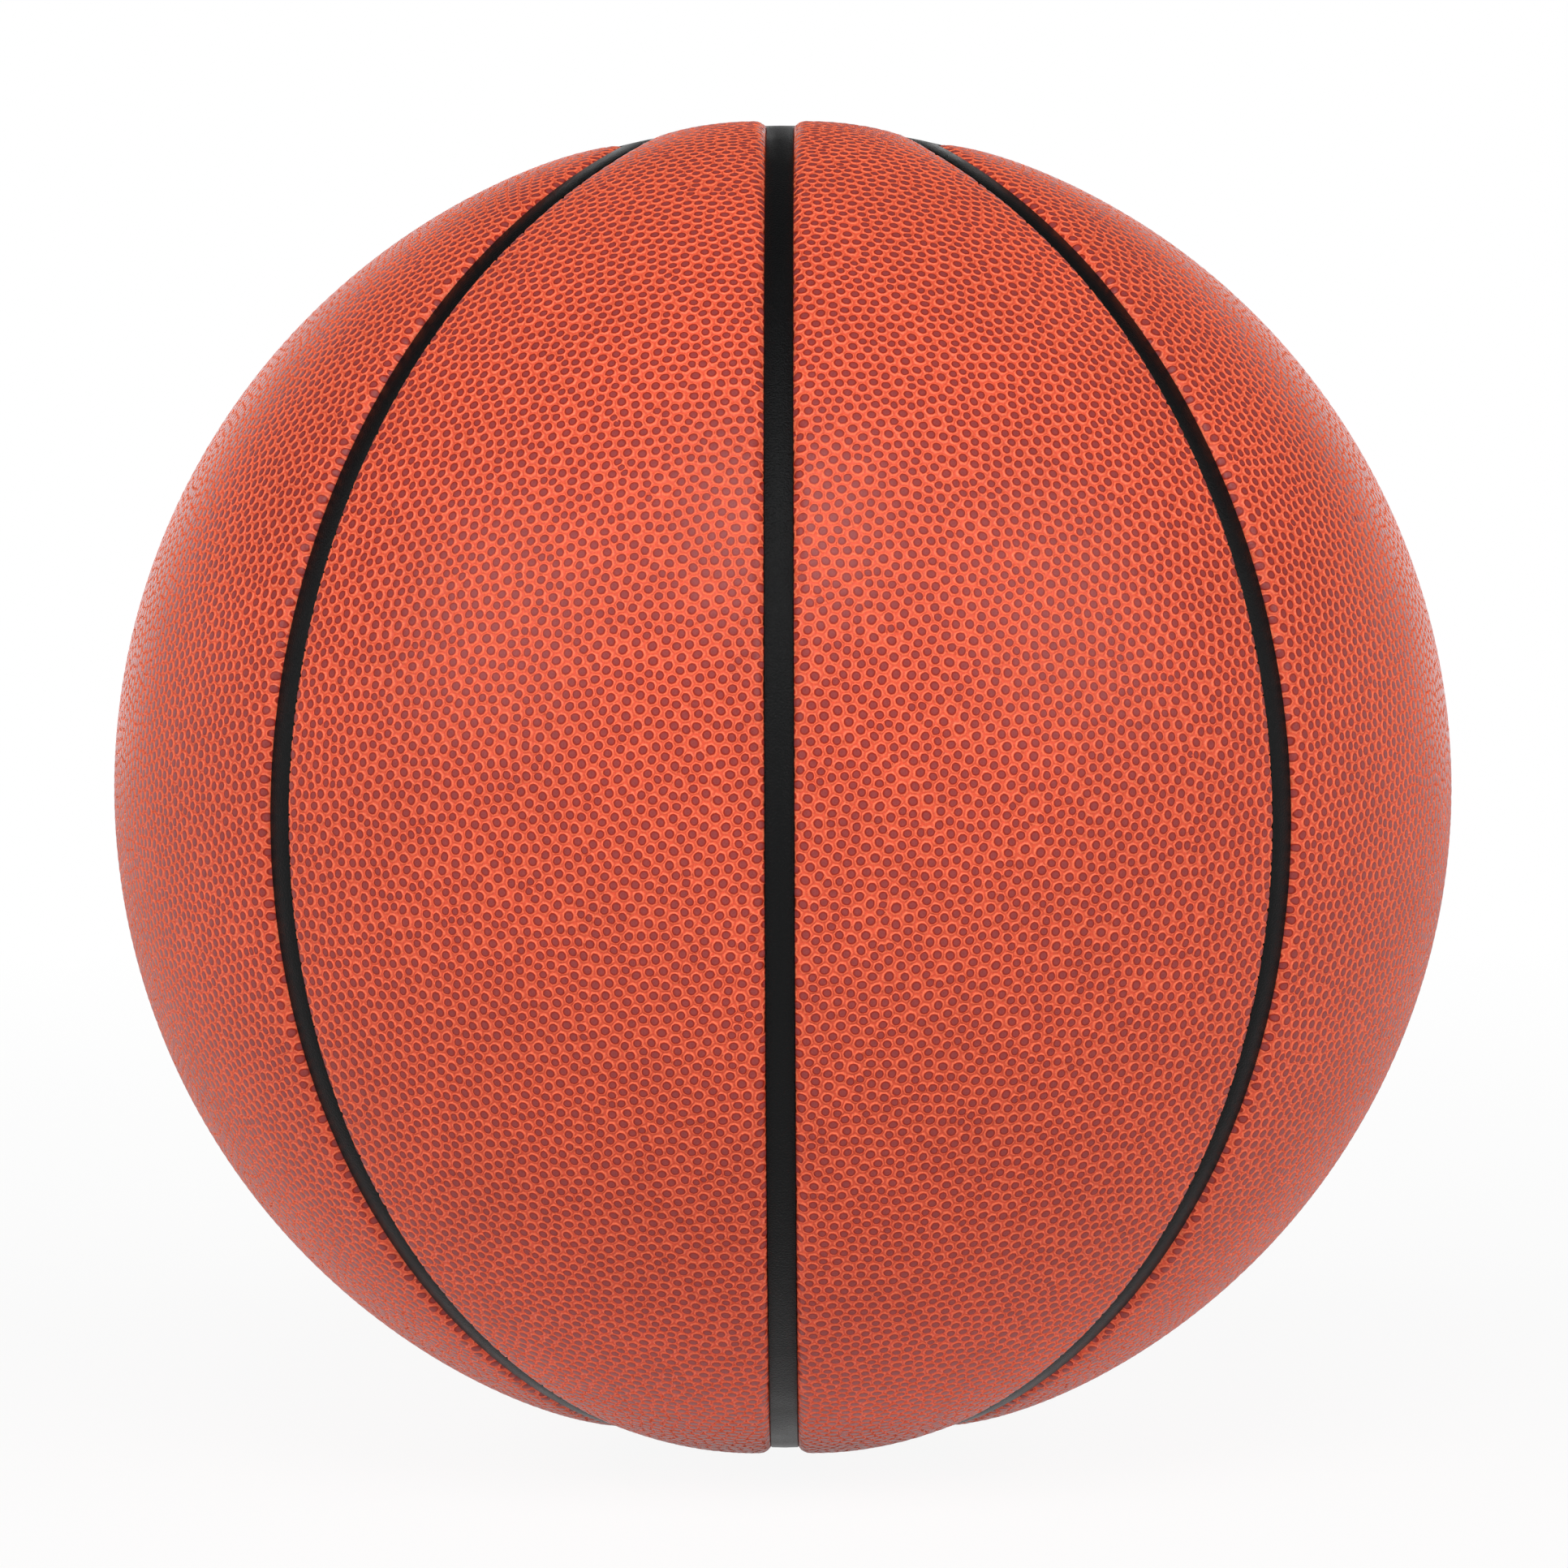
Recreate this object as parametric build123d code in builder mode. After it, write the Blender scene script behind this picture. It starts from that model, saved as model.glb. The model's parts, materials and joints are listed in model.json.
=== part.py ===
from build123d import *
import os
from math import asin, cos, pi, radians, sin, sqrt

# Indoor basketball of the common eight-panel layout, laminated from bladder to cover.
# Millimetres, +Z up, origin at the ball's centre. One great-circle seam lies in the plane x = 0, the
# other in the plane y = 0, and an oval seam runs round each end of the X axis. The front is -Y.

os.makedirs("parts", exist_ok=True)

# Overall size: a size 7 ball, 757 mm round
ball_diameter = 241.0

# Layers, from the outside in
cover_thickness = 1.5
foam_thickness = 1.5
carcass_thickness = 1.2
winding_thickness = 0.6
bladder_thickness = 0.8
bond_thickness = 0.3  # glue film between one layer and the next

# Seam channels: black rubber ribs of the carcass between the cover panels
seam_width = 5.2
seam_depth = 1.6  # from the crown of the covers down to the rib's top
edge_clearance = 0.2  # between a rib's flank and a cover's edge

# Cover panels: a skin with its edge turned down round the foam pad
edge_roll_radius = 2.0
rim_width = 2.4
corner_radius = 3.5
pad_corner_radius = 1.5

# Oval seams: angles seen from the ball's centre, measured from the X axis
oval_angle_across = 44.4
oval_angle_up = 77.8
oval_points = 20
crowding_share = 0.4  # how far the points crowd towards the oval's narrow ends
cone_near_share = 0.04  # start of an oval's cutting cone along X, as a share of the ball's radius
cone_far_share = 1.2
tangent_step = radians(0.1)

# Valve, in the back right band panel at mid height
valve_seam_distance = 27.0  # along the cover from the upright seam's middle
stem_diameter = 8.6
stem_clearance = 0.2  # round the stem in every layer it passes
head_recess_depth = 0.5  # of the stem's end below the cover's crown
head_chamfer_width = 0.6
flange_diameter = 26.0
flange_thickness = 1.4
tail_length = 6.0  # of the housing beyond the flange, into the bladder
tail_taper_width = 1.2
chamber_diameter = 5.6
chamber_length = 4.0
throat_diameter = 3.6
throat_length = 1.6
patch_diameter = 38.0
patch_thickness = 0.6
plug_clearance = 0.1  # between the plug and the housing
plug_diameter = 4.4
needle_diameter = 2.1
slit_web_thickness = 1.0  # thickness left at the end of the needle passage
mouth_diameter = 3.0
mouth_depth = 0.9

cut_overrun = 5.0  # of every cut past the surface that it opens

# Radii of the layers
ball_radius = ball_diameter / 2
skin_inner = ball_radius - cover_thickness
foam_outer = skin_inner - bond_thickness
cover_seat = foam_outer - foam_thickness
carcass_outer = cover_seat - bond_thickness
carcass_inner = carcass_outer - carcass_thickness
winding_outer = carcass_inner - bond_thickness
winding_inner = winding_outer - winding_thickness
bladder_outer = winding_inner - bond_thickness
bladder_inner = bladder_outer - bladder_thickness
rib_top = ball_radius - seam_depth

rib_half = seam_width / 2
cover_inset = rib_half + edge_clearance  # seam's middle to the cover's edge
hollow_inset = cover_inset + rim_width
hollow_corner_radius = pad_corner_radius + bond_thickness
pad_inset = hollow_inset + bond_thickness


def oval_direction(turn):
    """Direction from the centre to the oval seam: in arc lengths from the X axis the oval is an ellipse."""
    across = radians(oval_angle_across) * sin(turn)
    up = radians(oval_angle_up) * cos(turn)
    reach = sqrt(across**2 + up**2)
    return Vector(cos(reach), -sin(reach) * across / reach, sin(reach) * up / reach)


def shifted_direction(turn, shift):
    """The same direction, moved across the seam by an angle, outwards where the angle is positive."""
    here = oval_direction(turn)
    along = oval_direction(turn + tangent_step) - oval_direction(turn - tangent_step)
    outward = along.cross(here).normalized()
    if outward.X > 0:
        outward = outward * -1
    return here * cos(shift) + outward * sin(shift)


def oval_outline(distance, inset):
    """Points where the cone over the shifted oval meets the plane at a distance along X."""
    turns = [2 * pi * count / oval_points for count in range(oval_points)]
    crowded = [turn - crowding_share * sin(2 * turn) for turn in turns]
    rays = [shifted_direction(turn, asin(inset / ball_radius)) for turn in crowded]
    return [(distance * ray.Y / ray.X, distance * ray.Z / ray.X) for ray in rays]


def oval_cone(inset):
    """Solid cone from the centre over the right-hand oval, wider than the seam's middle by an inset."""
    with BuildPart() as cone:
        for share in (cone_near_share, cone_far_share):
            distance = share * ball_radius
            with BuildSketch(Plane.YZ.offset(distance)):
                with BuildLine():
                    Spline(*oval_outline(distance, inset), periodic=True)
                make_face()
        loft(ruled=True)
    return cone.part


def from_centre(point):
    """Distance of a point from the ball's centre."""
    return Vector(point).length


def is_corner(edge):
    """True for an edge that runs through a panel's thickness."""
    return abs(from_centre(edge @ 0) - from_centre(edge @ 1)) > bond_thickness


def lies_at(radius):
    """Test for an edge that lies on one sphere, at both ends and in the middle."""
    ends_and_middle = (0, 0.5, 1)
    return lambda edge: all(abs(from_centre(edge @ at) - radius) < edge_clearance for at in ends_and_middle)


def panel(kind, outer, inner, inset, corner):
    """Front right panel of a kind, band or oval, between two spheres, an inset away from the seams."""
    with BuildPart() as block:
        Sphere(outer)
        Sphere(inner, mode=Mode.SUBTRACT)
        split(bisect_by=Plane.XZ.offset(inset), keep=Keep.TOP)
        if kind == "band":
            split(bisect_by=Plane.YZ.offset(inset), keep=Keep.TOP)
            add(oval_cone(inset), mode=Mode.SUBTRACT)
        else:
            add(oval_cone(-inset), mode=Mode.INTERSECT)
        fillet(block.edges().filter_by(is_corner), corner)
    return block.part


def valve_hole(radius):
    """Cut a round hole for the valve stem through the part under construction."""
    with Locations(valve_plane):
        Cylinder(radius, ball_radius + cut_overrun, align=from_base, mode=Mode.SUBTRACT)


def shell(outer, inner):
    """Hollow sphere between two radii, with the hole for the valve stem."""
    with BuildPart() as layer:
        Sphere(outer)
        Sphere(inner, mode=Mode.SUBTRACT)
        valve_hole(hole_radius)
    return layer


def finish(builder, name):
    """Label a finished piece and write its file."""
    builder.part.label = name
    export_step(builder.part, f"parts/{name}.step")


# The valve's axis runs out from the centre through the back right band panel
valve_angle = valve_seam_distance / ball_radius
valve_direction = Vector(sin(valve_angle), cos(valve_angle), 0)
valve_plane = Plane(origin=(0, 0, 0), x_dir=(0, 0, 1), z_dir=valve_direction)
valve_section = Plane(origin=(0, 0, 0), x_dir=(0, 0, 1), z_dir=Vector(0, 0, 1).cross(valve_direction))
valve_axis = Axis((0, 0, 0), valve_direction)
from_base = (Align.CENTER, Align.CENTER, Align.MIN)
stem_radius = stem_diameter / 2
hole_radius = stem_radius + stem_clearance

# Half turns that carry the front right panel to the other three quarters
quarters = {
    "front_right": (0, 0, 0),
    "back_right": (180, 0, 0),
    "front_left": (0, 180, 0),
    "back_left": (0, 0, 180),
}
valve_quarter = "back_right"

# Cover panels and the foam pads let into them
rib_pockets = []
for kind in ("band", "oval"):
    skin = panel(kind, ball_radius, cover_seat, cover_inset, corner_radius)
    hollow = panel(kind, skin_inner, carcass_inner, hollow_inset, hollow_corner_radius)
    pad = panel(kind, foam_outer, cover_seat, pad_inset, pad_corner_radius)
    pocket = panel(kind, ball_radius + cut_overrun, carcass_outer, rib_half, corner_radius + edge_clearance)
    with BuildPart() as master:
        add(skin)
        fillet(master.edges().filter_by(lies_at(ball_radius)), edge_roll_radius)
        add(hollow, mode=Mode.SUBTRACT)
    for quarter, half_turn in quarters.items():
        has_valve = kind == "band" and quarter == valve_quarter
        with BuildPart() as cover:
            add(master.part, rotation=half_turn)
            if has_valve:
                valve_hole(hole_radius)
        finish(cover, f"{kind}_cover_{quarter}")
        with BuildPart() as foam:
            add(pad, rotation=half_turn)
            if has_valve:
                valve_hole(hole_radius)
        finish(foam, f"{kind}_foam_{quarter}")
        rib_pockets.append(Rotation(*half_turn) * pocket)

# Carcass: a rubber sphere whose ribs stand up between the panels
with BuildPart() as carcass:
    Sphere(rib_top)
    add(rib_pockets, mode=Mode.SUBTRACT)
    Sphere(carcass_inner, mode=Mode.SUBTRACT)
    valve_hole(hole_radius)
finish(carcass, "carcass")

# Wound nylon layer and bladder
winding = shell(winding_outer, winding_inner)
finish(winding, "thread_winding")
bladder = shell(bladder_outer, bladder_inner)
finish(bladder, "bladder")

# Valve patch: a reinforcing disc on the inside of the bladder
patch_outer = bladder_inner - bond_thickness
patch_inner = patch_outer - patch_thickness
with BuildPart() as patch:
    Sphere(patch_outer)
    Sphere(patch_inner, mode=Mode.SUBTRACT)
    with Locations(valve_plane):
        Cylinder(patch_diameter / 2, ball_radius, align=from_base, mode=Mode.INTERSECT)
    valve_hole(hole_radius)
finish(patch, "valve_patch")

# Valve housing: a flanged stem with a chamber that locks the plug in place
flange_outer = patch_inner - bond_thickness
flange_inner = flange_outer - flange_thickness
flange_radius = flange_diameter / 2
head_level = ball_radius - head_recess_depth
tail_end = flange_inner - tail_length
bore_radius = plug_diameter / 2 + plug_clearance
chamber_radius = chamber_diameter / 2
throat_radius = throat_diameter / 2
chamber_floor = tail_end + throat_length
chamber_roof = chamber_floor + chamber_length


def level_on(sphere, reach):
    """Height along the valve's axis of a sphere's surface at a reach from that axis."""
    return sqrt(sphere**2 - reach**2)


with BuildPart() as housing:
    with BuildSketch(valve_section):
        with BuildLine():
            inner_rim = (flange_radius, level_on(flange_inner, flange_radius))
            outer_rim = (flange_radius, level_on(flange_outer, flange_radius))
            stem_foot = (stem_radius, level_on(flange_outer, stem_radius))
            tail_top = (stem_radius, level_on(flange_inner, stem_radius))
            Polyline(
                tail_top,
                (stem_radius - tail_taper_width, tail_end),
                (throat_radius, tail_end),
                (throat_radius, chamber_floor),
                (chamber_radius, chamber_floor),
                (chamber_radius, chamber_roof),
                (bore_radius, chamber_roof),
                (bore_radius, head_level),
                (stem_radius - head_chamfer_width, head_level),
                (stem_radius, head_level - head_chamfer_width),
                stem_foot,
            )
            RadiusArc(stem_foot, outer_rim, flange_outer)
            Line(outer_rim, inner_rim)
            RadiusArc(inner_rim, tail_top, -flange_inner)
        make_face()
    revolve(axis=valve_axis)
finish(housing, "valve_housing")

# Valve plug: the soft core with the needle passage, closed at its inner end by a slit web
needle_radius = needle_diameter / 2
with BuildPart() as plug:
    with BuildSketch(valve_section):
        with BuildLine():
            Polyline(
                (0, tail_end),
                (throat_radius - plug_clearance, tail_end),
                (throat_radius - plug_clearance, chamber_floor + plug_clearance),
                (chamber_radius - plug_clearance, chamber_floor + plug_clearance),
                (chamber_radius - plug_clearance, chamber_roof - plug_clearance),
                (bore_radius - plug_clearance, chamber_roof - plug_clearance),
                (bore_radius - plug_clearance, head_level),
                (mouth_diameter / 2, head_level),
                (needle_radius, head_level - mouth_depth),
                (needle_radius, tail_end + slit_web_thickness),
                (0, tail_end + slit_web_thickness),
                close=True,
            )
        make_face()
    revolve(axis=valve_axis)
finish(plug, "valve_plug")
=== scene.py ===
"""Indoor basketball with pebbled cover panels and rubber channel strips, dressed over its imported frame."""
import json
from math import asin, cos, pi, radians, sin, sqrt

import bpy
import numpy as np
from bpy.props import FloatProperty, FloatVectorProperty, IntProperty, PointerProperty
from mathutils import Matrix, Vector
from mathutils.geometry import delaunay_2d_cdt


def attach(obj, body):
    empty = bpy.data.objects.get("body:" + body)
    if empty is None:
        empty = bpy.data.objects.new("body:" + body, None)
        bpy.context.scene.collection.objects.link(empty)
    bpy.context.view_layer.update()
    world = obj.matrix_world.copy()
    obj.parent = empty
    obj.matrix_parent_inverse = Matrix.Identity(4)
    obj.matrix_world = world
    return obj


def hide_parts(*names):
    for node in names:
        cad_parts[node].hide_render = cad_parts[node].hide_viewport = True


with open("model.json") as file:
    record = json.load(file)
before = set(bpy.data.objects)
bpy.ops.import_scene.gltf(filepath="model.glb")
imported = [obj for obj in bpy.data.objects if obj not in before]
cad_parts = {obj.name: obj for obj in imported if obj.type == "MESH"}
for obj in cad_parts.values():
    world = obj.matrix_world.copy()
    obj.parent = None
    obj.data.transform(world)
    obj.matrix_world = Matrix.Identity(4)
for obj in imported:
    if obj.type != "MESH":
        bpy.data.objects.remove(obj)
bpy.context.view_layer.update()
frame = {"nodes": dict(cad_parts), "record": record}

bl_info = {
    "name": "Pebbled Basketball",
    "version": (1, 0, 0),
    "blender": (4, 5, 0),
    "location": "View3D > Sidebar > Basketball",
    "description": "Cover panels, channel strips, valve and stage of an eight-panel indoor basketball",
    "category": "Add Mesh",
}

MM = 0.001
TINY = 1e-9
BODY = "root"
KINDS = ("band", "oval")
WHITE = (1.0, 1.0, 1.0, 1.0)

# How fine the meshes are
SEAM_POINTS = 4000  # along each seam, before an outline is spaced evenly
OVAL_POINTS = 300  # along the middle of an oval strip
OVAL_TRIM = 0.01  # share of that middle left free at each end
HOLE_POINTS = 64  # round the valve hole
RING_POINTS = 8  # round a pebble's top
CARCASS_POINTS = 4000  # over the carcass, less those near its strips
CENTRE_SPACING = 4 * MM  # along the outline that gives a panel's middle
EDGE_SPACING = 0.5 * MM  # along the edge of a cover's outer face
TRAY_SPACING = 1.2 * MM  # along the step in a cover's inner face
STRIP_SPACING = 0.9 * MM  # along the edges of a strip
TRAY_SHARE = 9  # one in so many pebbles gives a point of the inner face
DRAW_IN_STEPS = 4  # to bring an outline to its rounded corners
BATCH = 800  # points whose nearest pebble is looked for at once

# Rows of points beside an edge, and the room that other points leave
EDGE_ROW, EDGE_ROOM = 0.14 * MM, 0.34 * MM
HOLE_ROW, HOLE_ROOM = 0.25 * MM, 0.45 * MM
TRAY_ROW, TRAY_ROOM = 0.2 * MM, 2 * MM
POCKET_ROW, POCKET_ROOM, POCKET_HOLE_ROOM = 0.7 * MM, 4 * MM, 3 * MM
PAD_ROOM = 0.25 * MM  # between a foam pad and the skin over it
SAME_PLACE = 0.001 * MM  # points of the carcass that are closer are one

# How the pebbles are laid out
THROW = 0.24  # chance shift of a pebble, as a share of the pitch
MARGIN = 2.5  # pitches that the layout runs on past a panel's edge
ROUNDS, QUICK_ROUNDS = 8, 4  # times that the pebbles are spread out again
TOP_SIZES = (0.92, 1.08)  # chance range of a top's size
MOST_NEIGHBOURS = 10
CELL_LIMIT = 0.86  # largest share of its cell that a top may reach
SHORT_SIDE = 0.5 * MM  # sides of cells that are shorter have no points
LONGEST_SIDE = 3  # in pitches, for a side of a cell
SAME_CORNER = 0.25 * MM  # corners of cells that round to one place are one
SEED_STEP = 5  # between one panel's seed and the next
ON_TOP_EDGE = 0.5  # relief at the edge of a pebble's top
PEBBLE_RELIEF = (0, 0.42, ON_TOP_EDGE, 0.9, 1)
PEBBLE_RISE = (1, 0.97, 0.88, 0.06, 0)  # share of a pebble's height at each of those reliefs
OFF_TOP = (0.0, 0.0, 3.0)  # spread of a point that lies on no pebble's top
NO_PEBBLE = -1

# Height at which an oval seam's pull starts to grow, and over which it grows, in ball radii
END_START, END_SPAN = 0.6, 0.35

# Studio in metres: flat floor, the bend up to the wall, the wall's top and the floor's hub
FLOOR_RUN, FLOOR_BEND, WALL_TOP, FLOOR_HUB = 4.5, 1.5, 1.7, 0.4
FLOOR_SIDES, BEND_POINTS = 96, 16
WORLD_LEVEL = 0.1
IMAGE_SIDE = 1932.0  # pixels along each side of the photograph
SENSOR_WIDTH = 36.0  # millimetres
FARTHEST = 50.0  # metres that the camera sees

# Sockets of a mix node that mixes colours
MIX_SHARE, MIX_FIRST, MIX_SECOND, MIX_RESULT = 0, 6, 7, 2
NOISE_RANGE = {"From Min": 0.3, "From Max": 0.7}  # what noise mostly fills


def hex_colour(code):
    """Linear RGBA of an sRGB hex value: each channel through the sRGB curve."""
    srgb = np.array([int(code[i:i + 2], 16) for i in (0, 2, 4)]) / 255.0
    linear = np.where(srgb <= 0.04045, srgb / 12.92, ((srgb + 0.055) / 1.055) ** 2.4)
    return (*(float(channel) for channel in linear), 1.0)


def node_reach(name):
    """Least and greatest distance of a CAD node's vertices from the ball's centre."""
    mesh = frame["nodes"][name].data
    flat = np.empty(3 * len(mesh.vertices), np.float32)
    mesh.vertices.foreach_get("co", flat)
    distance = np.linalg.norm(flat.reshape(-1, 3), axis=1)
    return float(distance.min()), float(distance.max())


COVER_SEAT, CROWN = node_reach("band_cover_front_right")
CARCASS_INNER, STRIP_TOP = node_reach("carcass")
FOAM_TOP = node_reach("band_foam_front_right")[1]

# Half turns that carry the front right quarter to the others: the signs of x, y and z
QUARTERS = {
    "front_right": np.array([1.0, 1.0, 1.0]),
    "back_right": np.array([1.0, -1.0, -1.0]),
    "front_left": np.array([-1.0, 1.0, -1.0]),
    "back_left": np.array([-1.0, -1.0, 1.0]),
}
VALVE_QUARTER = "back_right"
VALVE_AXIS = np.array(next(m["axis"] for m in frame["record"]["mounts"] if m["name"] == "needle_bore"))
HOLE_AXIS = VALVE_AXIS * QUARTERS[VALVE_QUARTER]  # the valve's axis, carried to the front right quarter


def amount(name, description, default, **units):
    """A number property, plain or with a unit or subtype."""
    return FloatProperty(name=name, description=description, default=default, **units)


def length(name, description, default):
    """A length property in metres, given in millimetres."""
    return amount(name, description, default * MM, unit="LENGTH", precision=5)


def angle(name, description, default):
    """An angle property in radians, given in degrees."""
    return amount(name, description, radians(default), unit="ROTATION")


def colour(name, description, code):
    """A colour property, given as an sRGB hex value."""
    return FloatVectorProperty(
        name=name, description=description, default=hex_colour(code), size=4, subtype="COLOR", min=0, max=1
    )


class BallShape(bpy.types.PropertyGroup):
    """Sizes of the panels, channels and pebbles."""

    oval_across: angle("Oval across", "Half angle of an oval seam along the equator", 44.4)
    oval_up: angle("Oval up", "Half angle of an oval seam towards the poles", 77.8)
    strip_width: length("Strip width", "Width of a black channel strip", 5.0)
    edge_clearance: length("Edge clearance", "Gap between a strip's flank and a panel's edge", 0.05)
    edge_roll: length("Edge roll", "Radius of a panel's rolled edge", 2.0)
    rim_width: length("Rim width", "Width of a panel's turned-down edge", 2.4)
    edge_wave: amount("Edge wave", "Share of a pebble's height that swells a panel's edge sideways", 0.45)
    corner: length("Corner radius", "Rounding of a panel's corners", 3.5)
    pull_depth: length("Pull depth", "How far a seam draws the cover down beside it", 0.55)
    end_pull: length("End pull", "Added pull of an oval seam at its narrow ends", 0.9)
    pull_reach: length("Pull reach", "How far from a seam that pull is felt", 8.0)
    pebble_pitch: length("Pebble pitch", "Mean distance between pebbles", 2.24)
    pebble_height: length("Pebble height", "Height of a pebble's top over the ground", 0.42)
    pebble_top: length("Pebble top", "Largest radius of a pebble's flat top", 1.12)
    top_share: amount("Top share", "Share of its cell that a pebble's top fills", 0.8)
    roundness: amount("Roundness", "How far a pebble's top is drawn to a circle", 0.5)
    oblong: amount("Oblong", "Largest stretch of a pebble's top to an oval", 0.1)
    strip_round: length("Strip rounding", "Rounding of a strip's edges", 0.16)
    strip_crown: length("Strip crown", "Rise of a strip's middle over its edges", 0.04)
    glue_film: length("Glue film", "Gap between one layer and the next", 0.3)
    hole_radius: length("Valve hole", "Radius of the hole round the valve stem", 4.5)
    seed: IntProperty(name="Seed", description="Start of the pebble layout", default=7)


class BallColours(bpy.types.PropertyGroup):
    """Colours of the cover, the rubber, the inner layers and the floor."""

    ground: colour("Ground", "Cover between the pebbles", "ed5f41")
    # Painted highlight: the flank colour is paler than the ground to stand in for light falling on the
    # pebbles' flanks.
    slope: colour("Slope", "Flank of a pebble", "ff825b")
    # Painted shade: this colour darkens the cell borders at the pebbles' feet, where shade falls between
    # them.
    crease_shade: colour("Crease", "Crease between two pebbles", "eb5c3e")
    # Dark rubbed pigment of a pebble's top; its greyer, lighter tone against the rim is partly a painted
    # sheen.
    top: colour("Top", "Rubbed top of a pebble", "9c4341")
    rim: colour("Rim", "Edge of a pebble's top", "9a220f")
    rubber: colour("Rubber", "Channel strips and valve", "0b0c0d")
    foam: colour("Foam", "Backing foam under the covers", "d8d2c4")
    thread: colour("Thread", "Wound nylon thread", "d9d3c2")
    patch: colour("Patch", "Rubberised patch fabric", "4c4a46")
    floor: colour("Floor", "Studio floor and backdrop", "f4f3f1")


class StudioLook(bpy.types.PropertyGroup):
    """Camera place and lamp powers."""

    azimuth: angle("Azimuth", "Turn of the camera round the ball", 0.3)
    elevation: angle("Elevation", "Height of the camera over the horizon", 4.3)
    roll: angle("Roll", "Roll of the camera", -0.22)
    distance: amount("Distance", "Camera to the ball's centre, in ball radii", 11.0)
    ball_pixels: amount("Ball radius", "Ball's radius in the picture", 825.2, subtype="PIXEL")
    ball_column: amount("Ball column", "Ball's centre from the picture's left", 964.7, subtype="PIXEL")
    ball_row: amount("Ball row", "Ball's centre from the picture's top", 969.2, subtype="PIXEL")
    key_power: amount("Key lamp", "Power of the lamp over the camera", 13.8, unit="POWER")
    side_power: amount("Side lamps", "Power of each lamp beside the camera", 13.0, unit="POWER")
    back_power: amount("Back panels", "Power of each panel behind the ball", 6.5, unit="POWER")


def unit(vectors):
    """Each row divided by its length."""
    return vectors / np.linalg.norm(vectors, axis=-1, keepdims=True)


def tangents(points):
    """Two unit vectors that span the tangent plane of the sphere at each point."""
    near_pole = 0.9
    helper = np.where(np.abs(points[:, 2:3]) < near_pole, [[0.0, 0.0, 1.0]], [[1.0, 0.0, 0.0]])
    first = unit(np.cross(helper, points))
    return first, np.cross(points, first)


def even_points(count):
    """Points spread evenly over the unit sphere on a spiral: equal steps of height, each turned on from the
    last by the golden ratio of a full turn."""
    number = np.arange(count) + 0.5
    height = 1 - 2 * number / count
    turn = pi * (1 + sqrt(5)) * number
    level = np.sqrt(1 - height**2)
    return np.stack([level * np.cos(turn), level * np.sin(turn), height], 1)


def oval_step(points, shape):
    """First-order arc from each point to the right-hand oval, and the direction that leads away from it.

    With psi the arc from the X axis and phi the turn from Z to the front, the oval is psi * g(phi) = 1 where
    g is the root of (sin phi / across)^2 + (cos phi / up)^2. The arc is (psi * g - 1) over the slope of
    psi * g.
    """
    psi = np.arccos(np.clip(points[:, 0], -1, 1))
    sine = np.maximum(np.sin(psi), TINY)
    front, up = -points[:, 1] / sine, points[:, 2] / sine
    g = np.hypot(front / shape.oval_across, up / shape.oval_up)
    turn = front * up * (shape.oval_across**-2 - shape.oval_up**-2) / g
    along_psi, along_phi = g, psi * turn / sine
    slope = np.hypot(along_psi, along_phi)
    cosine = np.cos(psi)
    zero = np.zeros_like(psi)
    away = along_psi[:, None] * np.stack([-sine, -cosine * front, cosine * up], 1)
    away += along_phi[:, None] * np.stack([zero, -up, -front], 1)
    return (psi * g - 1) / slope, away / slope[:, None]


def oval_arc(points, shape):
    """Arc from each point to the right-hand oval, positive outside: to first order, refined at its foot."""
    arc, away = oval_step(points, shape)
    foot = np.cos(arc)[:, None] * points - np.sin(arc)[:, None] * away
    return arc + oval_step(foot, shape)[0]


def seam_gaps(points, kind, shape):
    """Distances in metres from each point to the middles of the seams round a front right panel of a kind."""
    arc = oval_arc(points, shape) * CROWN
    level, upright = -points[:, 1] * CROWN, points[:, 0] * CROWN
    if kind == "band":
        return np.stack([level, upright, arc], 1)
    return np.stack([level, -arc], 1)


def edge_distance(points, kind, inset, corner, shape):
    """Distance inside the panel's edge: the least gap, with corners rounded by the root of summed squares."""
    gaps = seam_gaps(points, kind, shape) - inset
    short = np.maximum(corner - gaps, 0)
    rounded = corner - np.sqrt((short**2).sum(1))
    return np.where(short.any(1), rounded, gaps.min(1))


def inward(points, kind, inset, corner, shape):
    """Unit tangent vectors that lead away from the panel's edge, by central differences of its distance."""
    step, nudge = 1e-4, 1e-12
    slopes = []
    for axis in tangents(points):
        ahead = edge_distance(unit(points + step * axis), kind, inset, corner, shape)
        behind = edge_distance(unit(points - step * axis), kind, inset, corner, shape)
        slopes.append((ahead - behind)[:, None] * axis)
    return unit(slopes[0] + slopes[1] + nudge)


def oval_points(turn, inset, shape):
    """Points of the right-hand oval: an ellipse in arcs from the X axis, moved outwards by an inset."""
    front, up = shape.oval_across * np.sin(turn), shape.oval_up * np.cos(turn)
    psi = np.hypot(front, up)
    points = np.stack([np.cos(psi), -np.sin(psi) * front / psi, np.sin(psi) * up / psi], 1)
    away = oval_step(points, shape)[1]
    arc = inset / CROWN
    return cos(arc) * points + sin(arc) * away


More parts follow.
